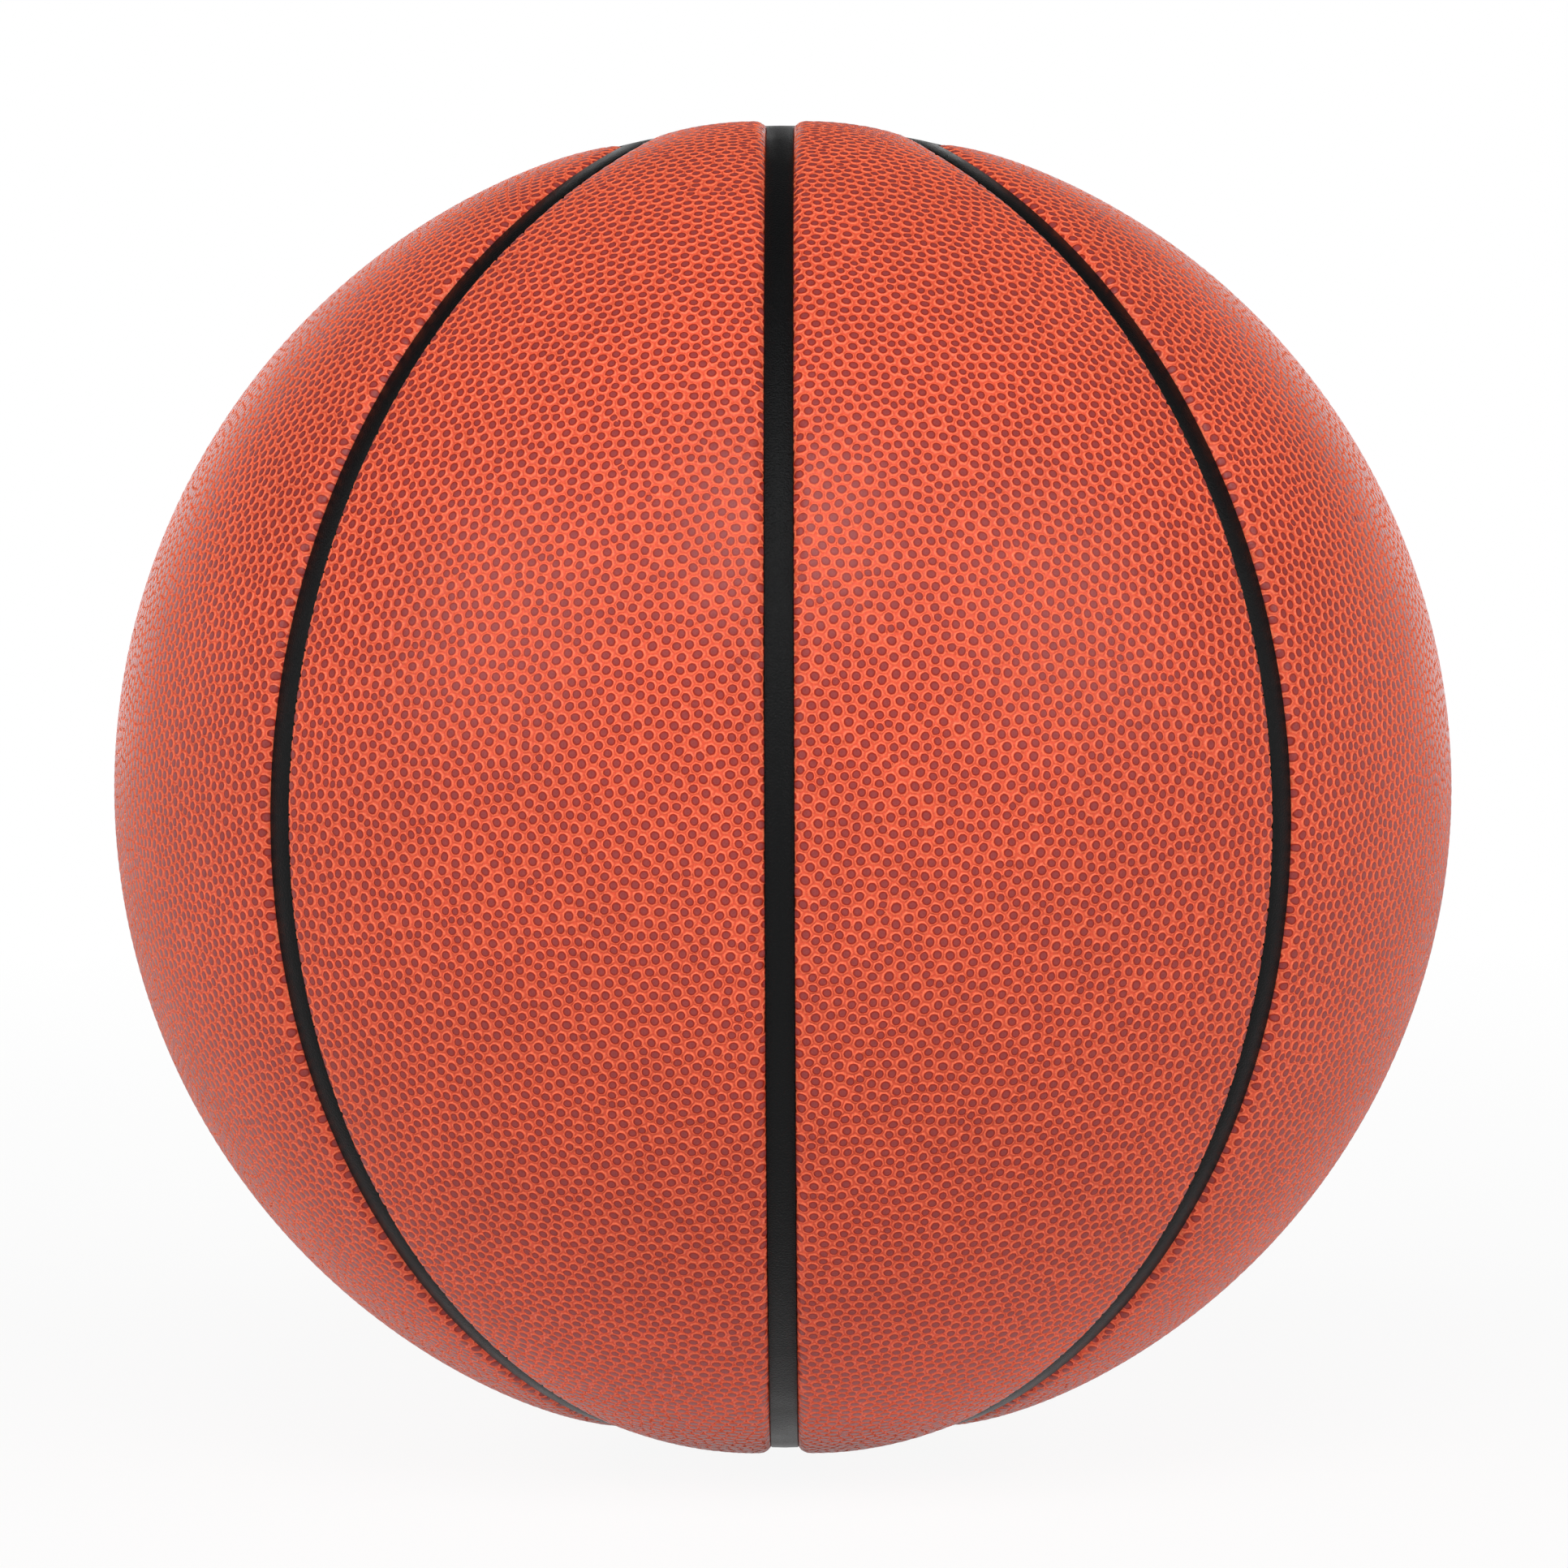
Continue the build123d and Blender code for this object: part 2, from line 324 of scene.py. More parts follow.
def outline(kind, inset, corner, spacing, shape):
    """Closed outline of a front right panel, anticlockwise from outside, evenly spaced, on the unit sphere.

    The straight seams are small circles at the inset from their planes, the oval is moved by the inset, and
    the joined line is then drawn in to the rounded corners along the slope of the edge distance.
    """
    share = inset / CROWN
    ring = sqrt(1 - share**2)
    fine = np.linspace(0, 1, SEAM_POINTS)
    side = 1 if kind == "band" else -1
    oval = oval_points(pi * fine, side * inset, shape)
    oval = oval[oval[:, 1] < -share]
    top = np.arccos(np.clip(oval[0, 0] / ring, -1, 1))
    if kind == "band":
        tilt = np.linspace(-1, 1, SEAM_POINTS) * np.arccos(share / ring)
        upright = np.stack([np.full_like(tilt, share), -ring * np.cos(tilt), ring * np.sin(tilt)], 1)
        start = asin(share / ring)
        lean = start + (pi / 2 - top - start) * fine
        level = np.stack([ring * np.sin(lean), np.full_like(lean, -share), ring * np.cos(lean)], 1)
        flipped = level[::-1] * [1, 1, -1]
        line = np.concatenate([flipped, upright[1:], level[1:], oval[1:]])[::-1]
    else:
        lean = top * np.linspace(1, -1, SEAM_POINTS)
        level = np.stack([ring * np.cos(lean), np.full_like(lean, -share), ring * np.sin(lean)], 1)
        line = np.concatenate([oval, level[::-1]])
    closed = np.concatenate([line, line[:1]])
    run = np.concatenate([[0], np.cumsum(np.linalg.norm(np.diff(closed, axis=0), axis=1))])
    count = int(round(run[-1] * CROWN / spacing))
    at = np.linspace(0, run[-1], count, endpoint=False)
    points = unit(np.stack([np.interp(at, run, closed[:, axis]) for axis in range(3)], 1))
    for _ in range(DRAW_IN_STEPS):
        miss = edge_distance(points, kind, inset, corner, shape) / CROWN
        points = unit(points - miss[:, None] * inward(points, kind, inset, corner, shape))
    return points


def numbered(parts):
    """Indices of each part's points when the parts are laid end to end."""
    starts = np.cumsum([0, *(len(part) for part in parts)])
    return [np.arange(start, start + len(part)) for start, part in zip(starts, parts)]


def flatten(points, centre):
    """Stereographic map of the sphere about a centre: 2 / (1 + cos of the arc) times the tangent part."""
    first, second = (axis[0] for axis in tangents(centre[None]))
    scale = 2 / (1 + points @ centre)
    return np.stack([scale * (points @ first), scale * (points @ second)], 1)


def triangles_of(points, centre, loops=()):
    """Delaunay triangles of points on the sphere, inside the first loop where loops of indices are given."""
    edges = [pair for loop in loops for pair in np.stack([loop, np.roll(loop, -1)], 1).tolist()]
    result = delaunay_2d_cdt(flatten(points, centre), edges, [], 1 if edges else 0, TINY, False)
    if len(result[0]) != len(points):
        raise RuntimeError("two points of the panel fall together")
    return np.array(result[2], np.int64).reshape(-1, 3)


def clear_of_loops(faces, loops):
    """Triangles less those with all corners on one of the loops, which fill a hole or a bay of an outline."""
    for loop in loops:
        on_loop = (faces >= loop[0]) & (faces <= loop[-1])
        faces = faces[~on_loop.all(1)]
    return faces


def edges_of(triangles):
    """Pairs of corners along the three edges of each triangle."""
    return np.concatenate([triangles[:, [0, 1]], triangles[:, [1, 2]], triangles[:, [2, 0]]])


def scatter_pebbles(kind, inset, centre, shape, seed):
    """Pebble centres and their Delaunay triangles: even points round the ball, thrown about by chance, cut to
    the panel and a margin, and spread out by moving each to the area-weighted middle of its triangles."""
    rng = np.random.default_rng(seed)
    cell = sqrt(3) / 2 * shape.pebble_pitch**2
    count = int(4 * pi * CROWN**2 / cell)
    throw = rng.normal(scale=THROW * shape.pebble_pitch / CROWN, size=(count, 3))
    points = unit(even_points(count) + throw)
    margin = MARGIN * shape.pebble_pitch
    points = points[edge_distance(points, kind, inset, shape.corner, shape) > -margin]
    rounds = ROUNDS
    for _ in range(rounds):
        triangles = triangles_of(points, centre)
        corners = points[triangles]
        middle = corners.mean(1)
        area = np.linalg.norm(np.cross(corners[:, 1] - corners[:, 0], corners[:, 2] - corners[:, 0]), axis=1)
        owners = triangles.ravel()
        total = np.bincount(owners, np.repeat(area, 3))[:, None]
        weighted = np.repeat(middle * area[:, None], 3, 0)
        target = np.stack([np.bincount(owners, column) for column in weighted.T], 1) / total
        free = edge_distance(points, kind, inset, shape.corner, shape) > shape.pebble_pitch - margin
        points = np.where(free[:, None], unit(target), points)
    return points, triangles_of(points, centre)


def neighbour_table(triangles, count):
    """Neighbours of each pebble as a padded table of indices, with -1 where a row has run out."""
    pairs = edges_of(triangles)
    pairs = np.unique(np.concatenate([pairs, pairs[:, ::-1]]), axis=0)
    start = np.searchsorted(pairs[:, 0], np.arange(count))
    place = np.arange(len(pairs)) - start[pairs[:, 0]]
    table = np.full((count, MOST_NEIGHBOURS), NO_PEBBLE)
    kept = place < MOST_NEIGHBOURS
    table[pairs[kept, 0], place[kept]] = pairs[kept, 1]
    return table


def cell_reach(sites, table, which, direction, growth, shape):
    """Reach of a pebble's cell and of its top from the centre of pebble number which, in a tangent direction.

    The cell ends half way to a neighbour: half the squared distance over its part along the direction, at the
    least over all neighbours. The top is the soft minimum of its own radius and a share of that reach.
    """
    far, softness = 1.0, 4
    neighbours = table[which]
    offset = (sites[neighbours] - sites[which][:, None]) * CROWN
    along = np.einsum("nkj,nj->nk", offset, direction)
    ends = 0.5 * (offset**2).sum(2) / np.maximum(along, TINY)
    ends[(neighbours == NO_PEBBLE) | (along < TINY)] = far
    cell = np.minimum(ends.min(1), shape.pebble_pitch)
    own, fit = shape.pebble_top * growth[which], shape.top_share * cell
    return cell, (own**-softness + fit**-softness) ** (-1 / softness)


def round_off(cell, reach, stretch, shape):
    """Reaches round each pebble's top, drawn part way to their mean, stretched and kept in the cell."""
    even = shape.roundness * reach.mean(1, keepdims=True) + (1 - shape.roundness) * reach
    return np.minimum(even * stretch, CELL_LIMIT * cell)


def ground_points(sites, triangles, shape):
    """Points of the ground, on the borders of the pebbles' cells: their corners, and two points on each side.

    A corner is the middle of the circle through a Delaunay triangle, which lies along the triangle's normal.
    A side runs between the corners of the two triangles that share an edge, and a short side has no points.
    """
    corners = sites[triangles]
    normal = np.cross(corners[:, 1] - corners[:, 0], corners[:, 2] - corners[:, 0])
    meets = unit(normal * np.sign((normal * corners[:, 0]).sum(1, keepdims=True)))
    edges = np.sort(edges_of(triangles), 1)
    owner = np.tile(np.arange(len(triangles)), 3)
    order = np.lexsort((edges[:, 1], edges[:, 0]))
    shared = (edges[order][1:] == edges[order][:-1]).all(1)
    start, end = meets[owner[order][:-1][shared]], meets[owner[order][1:][shared]]
    run = np.linalg.norm(end - start, axis=1) * CROWN
    fits = (run > SHORT_SIDE) & (run < LONGEST_SIDE * shape.pebble_pitch)
    start, end = start[fits], end[fits]
    sides = [unit(start + share * (end - start)) for share in (1 / 3, 2 / 3)]
    snapped = np.round(meets * CROWN / SAME_CORNER).astype(np.int64)
    single = np.unique(snapped, axis=0, return_index=True)[1]
    return np.concatenate([meets[single], *sides])


def skin_of(points, relief=1.0, spread=OFF_TOP, owner=NO_PEBBLE):
    """Points of a cover with a row of marks for each: relief, spread, and the pebble whose top has the point
    on its edge. Marks that aren't given are those of the ground."""
    count = len(points)
    return {
        "points": points,
        "relief": np.broadcast_to(relief, count),
        "spread": np.broadcast_to(spread, (count, 3)),
        "owner": np.broadcast_to(owner, count),
    }


def joined(*skins):
    """One skin from several, laid end to end."""
    return {name: np.concatenate([skin[name] for skin in skins]) for name in skins[0]}


def pebble_tops(sites, triangles, shape, seed):
    """Skin of the rings of points at the edges of the pebbles' tops, whose size, first turn, lean and stretch
    are chance. Also returns the reaches of cell and top round each pebble, and its first turn."""
    rng = np.random.default_rng(seed + 1)
    count = len(sites)
    growth = rng.uniform(*TOP_SIZES, count)
    phase = rng.uniform(0, 2 * pi, count)
    turn = phase[:, None] + np.linspace(0, 2 * pi, RING_POINTS, endpoint=False)
    first, second = (axis[:, None] for axis in tangents(sites))
    direction = (np.cos(turn)[..., None] * first + np.sin(turn)[..., None] * second).reshape(-1, 3)
    owner = np.repeat(np.arange(count), RING_POINTS)
    table = neighbour_table(triangles, count)
    known = cell_reach(sites, table, owner, direction, growth, shape)
    cells, reaches = (part.reshape(-1, RING_POINTS) for part in known)
    lean = rng.uniform(0, pi, (count, 1))
    oblong = rng.uniform(0, shape.oblong, (count, 1))
    reaches = round_off(cells, reaches, 1 + oblong * np.cos(2 * (turn - lean)), shape)
    points = unit(sites[owner] + direction * (reaches.reshape(-1, 1) / CROWN))
    spread = np.stack([np.cos(turn), np.sin(turn), np.zeros_like(turn)], -1).reshape(-1, 3)
    return skin_of(points, ON_TOP_EDGE, spread, owner), (cells, reaches, phase)


def edge_skin(points, sites, cells, reaches, phase):
    """Skin of points along a cover's edges. Relief is 0 at a pebble's middle, 0.5 at its top's edge and 1 at
    the cell's end. Spread is the place over the nearest pebble as a share of its top's reach. Both reaches
    are read between the directions at which they are known."""
    relief, spread = np.empty(len(points)), np.zeros((len(points), 3))
    first, second = tangents(sites)
    for part in np.array_split(np.arange(len(points)), max(1, len(points) // BATCH)):
        which = (points[part] @ sites.T).argmax(1)
        offset = (points[part] - sites[which]) * CROWN
        across = np.stack([(offset * first[which]).sum(1), (offset * second[which]).sum(1)], 1)
        away = np.linalg.norm(across, axis=1)
        turn = np.arctan2(across[:, 1], across[:, 0]) - phase[which]
        place = turn / (2 * pi) % 1 * RING_POINTS
        before = place.astype(int) % RING_POINTS
        after, blend = (before + 1) % RING_POINTS, place - place.astype(int)
        top, cell = (
            (1 - blend) * known[which, before] + blend * known[which, after] for known in (reaches, cells)
        )
        outside = ON_TOP_EDGE + (1 - ON_TOP_EDGE) * (away - top) / (cell - top)
        relief[part] = np.where(away < top, ON_TOP_EDGE * away / top, outside)
        spread[part, :2] = across / top[:, None]
    return skin_of(points, np.clip(relief, 0, 1), spread)


def cover_surface(points, relief, kind, inset, shape):
    """Places of the cover's outer points. The base falls along the quarter round of the rolled edge and by
    the pulls of the seams, as the root of their summed squares. A pull fades as an exponential, and an oval
    seam's grows towards the poles. A pebble stands off the base along the roll's own slope."""
    edge = np.maximum(edge_distance(points, kind, inset, shape.corner, shape), 0)
    gaps = np.maximum(seam_gaps(points, kind, shape) - inset, 0)
    depth = np.full_like(gaps, shape.pull_depth)
    depth[:, -1] += shape.end_pull * np.clip((np.abs(points[:, 2]) - END_START) / END_SPAN, 0, 1) ** 2
    pull = np.sqrt(((depth * np.exp(-gaps / shape.pull_reach)) ** 2).sum(1))
    lean = np.clip(1 - edge / shape.edge_roll, 0, 1)
    fall = shape.edge_roll * (1 - np.sqrt(1 - lean**2))
    rise = shape.pebble_height * np.interp(relief, PEBBLE_RELIEF, PEBBLE_RISE)
    pull *= np.sqrt(1 - lean**2)
    radius = CROWN - shape.pebble_height - fall - pull + rise * np.sqrt(1 - lean**2)
    places = radius[:, None] * points
    rolled = np.flatnonzero(lean > 0)
    sideways = inward(points[rolled], kind, inset, shape.corner, shape)
    places[rolled] -= (shape.edge_wave * rise * lean)[rolled, None] * sideways
    return places


def closed_wall(upper, lower):
    """Triangles between two loops of indices that run anticlockwise from outside, one above the other."""
    upper_next, lower_next = np.roll(upper, -1), np.roll(lower, -1)
    return np.concatenate([
        np.stack([lower, lower_next, upper_next], 1),
        np.stack([lower, upper_next, upper], 1),
    ])


def hole_loop(radius):
    """Circle round the valve's axis, clockwise from outside, as unit vectors of the front right quarter."""
    first, second = (vector[0] for vector in tangents(HOLE_AXIS[None]))
    turn = np.linspace(0, -2 * pi, HOLE_POINTS, endpoint=False)[:, None]
    arc = asin(radius / CROWN)
    return cos(arc) * HOLE_AXIS + sin(arc) * (np.cos(turn) * first + np.sin(turn) * second)


def clear_of_hole(points, room, shape):
    """True for points that lie outside the valve hole by at least some room."""
    return np.arccos(np.clip(points @ HOLE_AXIS, -1, 1)) * CROWN > shape.hole_radius + room


def cover_panel(kind, has_hole, shape, seed):
    """Skin and triangles of a front right cover panel, closed, with its points in their places.

    The outer face holds each pebble's middle, a ring of points at the edge of its top, and the ground points
    on the borders of its cell. The inner face is a tray whose rim goes down to the carcass round the foam.
    """
    inset = shape.strip_width / 2 + shape.edge_clearance
    centre = unit(outline(kind, inset, shape.corner, CENTRE_SPACING, shape).mean(0))
    sites, triangles = scatter_pebbles(kind, inset, centre, shape, seed)
    tops, rings = pebble_tops(sites, triangles, shape, seed)
    middles = skin_of(sites, 0.0, (0.0, 0.0, 0.0))
    pebbles = joined(middles, tops, skin_of(ground_points(sites, triangles, shape)))
    kept = edge_distance(pebbles["points"], kind, inset, shape.corner, shape) > EDGE_ROOM
    loops = [outline(kind, inset + rise, shape.corner, EDGE_SPACING, shape) for rise in (0, EDGE_ROW)]
    if has_hole:
        loops += [hole_loop(shape.hole_radius + rise) for rise in (0, HOLE_ROW)]
        kept &= clear_of_hole(pebbles["points"], HOLE_ROOM, shape)
    ids = numbered(loops)
    borders = ids[::2]
    inside = {name: values[kept] for name, values in pebbles.items()}
    skin = joined(edge_skin(np.concatenate(loops), sites, *rings), inside)
    faces = clear_of_loops(triangles_of(skin["points"], centre, ids), borders)
    skin["points"] = cover_surface(skin["points"], skin["relief"], kind, inset, shape)
    shift = len(skin["points"])
    tray, tray_faces, tray_borders = cover_tray(kind, has_hole, inset, loops[0], sites, centre, shape)
    walls = [closed_wall(upper, lower + shift) for upper, lower in zip(borders, tray_borders)]
    return joined(skin, skin_of(tray)), np.concatenate([faces, tray_faces + shift, *walls])


def cover_tray(kind, has_hole, inset, edge, sites, centre, shape):
    """Places, triangles and border loops of a cover's inner face: a rim at the seat, a step up at the foam
    pad's edge and the underside of the skin."""
    step, corner = inset + shape.rim_width, shape.corner - shape.rim_width
    loops = [edge]
    loops += [outline(kind, step + rise, corner + rise, TRAY_SPACING, shape) for rise in (0, TRAY_ROW)]
    depth = edge_distance(sites, kind, inset, shape.corner, shape)
    coarse = sites[depth > shape.rim_width + TRAY_ROOM][::TRAY_SHARE]
    if has_hole:
        loops.append(hole_loop(shape.hole_radius))
        coarse = coarse[clear_of_hole(coarse, TRAY_ROOM, shape)]
    ids = numbered(loops)
    borders = ids[::3]
    points = np.concatenate([*loops, coarse])
    on_rim = np.arange(len(points)) <= ids[1][-1]
    radius = np.where(on_rim, COVER_SEAT, FOAM_TOP + PAD_ROOM)
    faces = clear_of_loops(triangles_of(points, centre, ids), borders)
    return radius[:, None] * points, faces[:, ::-1], borders


def quarter_edge():
    """Edge of the front right quarter: up the front of the circle x = 0, then down the right of y = 0."""
    turn = np.linspace(0, pi, int(round(pi * CROWN / STRIP_SPACING)), endpoint=False)
    none = np.zeros_like(turn)
    front = np.stack([none, -np.sin(turn), -np.cos(turn)], 1)
    right = np.stack([np.sin(turn), none, np.cos(turn)], 1)
    return np.concatenate([front, right])


def carcass_quarter(has_hole, shape):
    """Places and triangles of the carcass in the front right quarter.

    One Delaunay net of the quarter is used at three radii. Its strips lie at the strips' tops, with rounded
    edges and a slight crown, its pockets lie at the carcass's own outside, and the whole net is repeated at
    its inside. Walls join the strips to the pockets and line the valve hole.
    """
    half, corner = shape.strip_width / 2, shape.corner + shape.edge_clearance
    strip, flank, pocket = range(3)
    loops, labels = [quarter_edge()], [strip]
    for kind in KINDS:
        for rise, label in ((0, flank), (-shape.strip_round, strip), (POCKET_ROW, pocket)):
            loops.append(outline(kind, half + rise, corner - rise, STRIP_SPACING, shape))
            labels.append(label)
    if has_hole:
        loops.append(hole_loop(shape.hole_radius))
        labels.append(pocket)
    middle = oval_points(np.linspace(OVAL_TRIM, 1 - OVAL_TRIM, OVAL_POINTS) * pi, 0, shape)
    coarse = even_points(CARCASS_POINTS)
    deep = [edge_distance(coarse, kind, half, corner, shape) > POCKET_ROOM for kind in KINDS]
    outside = clear_of_hole(coarse, POCKET_HOLE_ROOM, shape) | (not has_hole)
    coarse = coarse[(deep[0] | deep[1]) & outside]
    parts = [*loops, middle, coarse]
    ids = numbered(parts)
    points = np.concatenate(parts)
    labels = np.repeat([*labels, strip, pocket], [len(part) for part in parts])
    holes = [ids[len(loops) - 1]] if has_hole else []
    net = triangles_of(points, unit(np.array([1.0, -1.0, 0.0])), ids[:len(loops)])
    faces = clear_of_loops(net, holes)
    count = len(points)
    top = STRIP_TOP - np.where(labels == flank, shape.strip_round, 0)
    top[np.concatenate([ids[0], ids[len(loops)]])] += shape.strip_crown
    pocket_floor = np.full(count, COVER_SEAT - shape.glue_film)
    radii = np.concatenate([top, pocket_floor, np.full(count, CARCASS_INNER)])
    places = np.tile(points, (3, 1)) * radii[:, None]
    sunk = (labels[faces] == pocket).any(1)
    shells = [faces + count * sunk[:, None], faces[:, ::-1] + 2 * count]
    walls = [closed_wall(loop, loop + count)[:, ::-1] for loop in (ids[1], ids[4])]
    walls += [closed_wall(hole + count, hole + 2 * count) for hole in holes]
    return places, np.concatenate([*shells, *walls])


def carcass_shell(shape):
    """The whole carcass: the quarter carried round by half turns, with points on shared edges made one."""
    places, faces, shift = [], [], 0
    for quarter, signs in QUARTERS.items():
        quarter_places, quarter_faces = carcass_quarter(quarter == VALVE_QUARTER, shape)
        places.append(quarter_places * signs)
        faces.append(quarter_faces + shift)
        shift += len(quarter_places)
    places, faces = np.concatenate(places), np.concatenate(faces)
    snapped = np.round(places / SAME_PLACE).astype(np.int64)
    _, first, same = np.unique(snapped, axis=0, return_index=True, return_inverse=True)
    used, faces = np.unique(same.ravel()[faces], return_inverse=True)
    return places[first[used]], faces.reshape(-1, 3)


def build_mesh(name, places, faces, skin=None):
    """Smooth mesh object at the origin from arrays of places and triangles. A cover's skin adds its relief
    and spread as attributes, and keeps the edges round each pebble's top crisp."""
    mesh = bpy.data.meshes.new(name)
    mesh.vertices.add(len(places))
    mesh.vertices.foreach_set("co", places.astype(np.float32).ravel())
    mesh.loops.add(3 * len(faces))
    mesh.loops.foreach_set("vertex_index", faces.astype(np.int32).ravel())
    mesh.polygons.add(len(faces))
    mesh.polygons.foreach_set("loop_start", np.arange(0, 3 * len(faces), 3, dtype=np.int32))
    mesh.update(calc_edges=True)
    mesh.polygons.foreach_set("use_smooth", np.ones(len(faces), bool))
    if skin:
        relief = mesh.attributes.new("relief", "FLOAT", "POINT")
        relief.data.foreach_set("value", skin["relief"].astype(np.float32))
        spread = mesh.attributes.new("spread", "FLOAT_VECTOR", "POINT")
        spread.data.foreach_set("vector", skin["spread"].astype(np.float32).ravel())
        ends = np.empty(2 * len(mesh.edges), np.int32)
        mesh.edges.foreach_get("vertices", ends)
        pair = skin["owner"][ends.reshape(-1, 2)]
        crisp = (pair[:, 0] != NO_PEBBLE) & (pair[:, 0] == pair[:, 1])
        mesh.attributes.new("sharp_edge", "BOOLEAN", "EDGE").data.foreach_set("value", crisp)
    mesh.validate()
    piece = bpy.data.objects.new(name, mesh)
    bpy.context.scene.collection.objects.link(piece)
    return piece


def add_node(tree, kind, links=None, **settings):
    """One shader node with its settings. Its inputs, by name or number, are set to values, or linked to
    sockets or to the first outputs of nodes."""
    made = tree.nodes.new(kind)
    for name, value in settings.items():
        setattr(made, name, value)
    for name, value in (links or {}).items():
        if isinstance(value, bpy.types.Node):
            tree.links.new(value.outputs[0], made.inputs[name])
        elif isinstance(value, bpy.types.NodeSocket):
            tree.links.new(value, made.inputs[name])
        else:
            made.inputs[name].default_value = value
    return made


def new_material(name):
    """Empty node material, its tree and the socket of its Object coordinates."""
    material = bpy.data.materials.new(name)
    material.use_nodes = True
    tree = material.node_tree
    tree.nodes.clear()
    return material, tree, add_node(tree, "ShaderNodeTexCoord").outputs["Object"]


def set_ramp(ramp, stops):
    """Colour stops of a ramp node, as pairs of a position and a colour."""
    elements = ramp.color_ramp.elements
    while len(elements) < len(stops):
        elements.new(1.0)
    for element, (position, value) in zip(elements, stops):
        element.position = position
        element.color = value


def composite_leather(colours):
    """Moulded microfibre composite: orange ground, flanks painted paler as a painted highlight, a painted
    shade in the creases between pebbles, and dark rubbed pebble tops whose greyer middles are partly a
    painted sheen, with a satin sheen. Relief and spread carry the colours, and fine noise gives the grain of
    the skin."""
    grain_size, patch_size = 0.3 * MM, 22 * MM
    material, tree, place = new_material("composite_leather_pebbled")
    relief = add_node(tree, "ShaderNodeAttribute", attribute_name="relief").outputs["Fac"]
    spread = add_node(tree, "ShaderNodeAttribute", attribute_name="spread").outputs["Vector"]
    reach = add_node(tree, "ShaderNodeVectorMath", {0: spread}, operation="LENGTH").outputs["Value"]
    # Stops along the relief, from a top's edge down to the crease, then along the spread, from a top's middle
    # The slope stop paints a highlight on the flanks, the crease stop paints shade at the cell borders, and
    # the top's greyer middle is partly a painted sheen.
    ground = add_node(tree, "ShaderNodeValToRGB", {"Fac": relief})
    set_ramp(ground, [
        (ON_TOP_EDGE, colours.ground), (0.65, colours.slope), (0.84, colours.ground), (1.0, colours.crease_shade),
    ])
    top = add_node(tree, "ShaderNodeValToRGB", {"Fac": reach})
    set_ramp(top, [(0.0, colours.top), (0.52, colours.top), (0.76, colours.rim)])
    off_top = add_node(tree, "ShaderNodeMapRange", {"Value": reach, "From Min": 0.83, "From Max": 0.98})
    edges = {"Value": relief, "From Min": 0.48, "From Max": ON_TOP_EDGE}
    off_cell = add_node(tree, "ShaderNodeMapRange", edges)
    bare = add_node(tree, "ShaderNodeMath", {0: off_top, 1: off_cell}, operation="MAXIMUM")
    layers = {MIX_SHARE: bare, MIX_FIRST: top, MIX_SECOND: ground}
    skin = add_node(tree, "ShaderNodeMix", layers, data_type="RGBA").outputs[MIX_RESULT]
    grain = add_node(tree, "ShaderNodeTexNoise", {"Vector": place, "Scale": 1 / grain_size, "Detail": 3.0})
    patches = add_node(tree, "ShaderNodeTexNoise", {"Vector": place, "Scale": 1 / patch_size, "Detail": 2.0})
    fine = {"Value": grain, **NOISE_RANGE, "To Min": 0.87, "To Max": 1.13}
    broad = {"Value": patches, **NOISE_RANGE, "To Min": 0.96, "To Max": 1.04}
    levels = [add_node(tree, "ShaderNodeMapRange", shades) for shades in (fine, broad)]
    level = add_node(tree, "ShaderNodeMath", {0: levels[0], 1: levels[1]}, operation="MULTIPLY")
    shaded = {MIX_SHARE: 1.0, MIX_FIRST: skin, MIX_SECOND: level}
    tone = add_node(tree, "ShaderNodeMix", shaded, data_type="RGBA", blend_type="MULTIPLY")
    gloss = add_node(tree, "ShaderNodeMapRange", {"Value": bare, "To Min": 0.33, "To Max": 0.36})
    bump = add_node(tree, "ShaderNodeBump", {"Height": grain, "Strength": 0.25, "Distance": 0.05 * MM})
    shader = add_node(tree, "ShaderNodeBsdfPrincipled", {
        "Base Color": tone.outputs[MIX_RESULT], "Roughness": gloss, "Normal": bump,
        "IOR": 1.46, "Specular IOR Level": 0.22,
    })
    add_node(tree, "ShaderNodeOutputMaterial", {"Surface": shader})
    return material


def moulded_rubber(name, base, grain_size):
    """Moulded black rubber: satin, with the grain of an etched mould that breaks up its sheen, and a bloom
    that dulls it in patches."""
    bloom_size = 9 * MM
    material, tree, place = new_material(name)
    grain = add_node(tree, "ShaderNodeTexNoise", {"Vector": place, "Scale": 1 / grain_size, "Detail": 2.0})
    bloom = add_node(tree, "ShaderNodeTexNoise", {"Vector": place, "Scale": 1 / bloom_size, "Detail": 3.0})
    dulled = {"Value": bloom, **NOISE_RANGE, "To Min": 0.34, "To Max": 0.44}
    gloss = add_node(tree, "ShaderNodeMapRange", dulled)
    bump = add_node(tree, "ShaderNodeBump", {"Height": grain, "Strength": 0.9, "Distance": 0.6 * grain_size})
    shader = add_node(tree, "ShaderNodeBsdfPrincipled", {
        "Base Color": base, "Roughness": gloss, "Normal": bump, "IOR": 1.5, "Specular IOR Level": 0.12,
    })
    add_node(tree, "ShaderNodeOutputMaterial", {"Surface": shader})
    return material


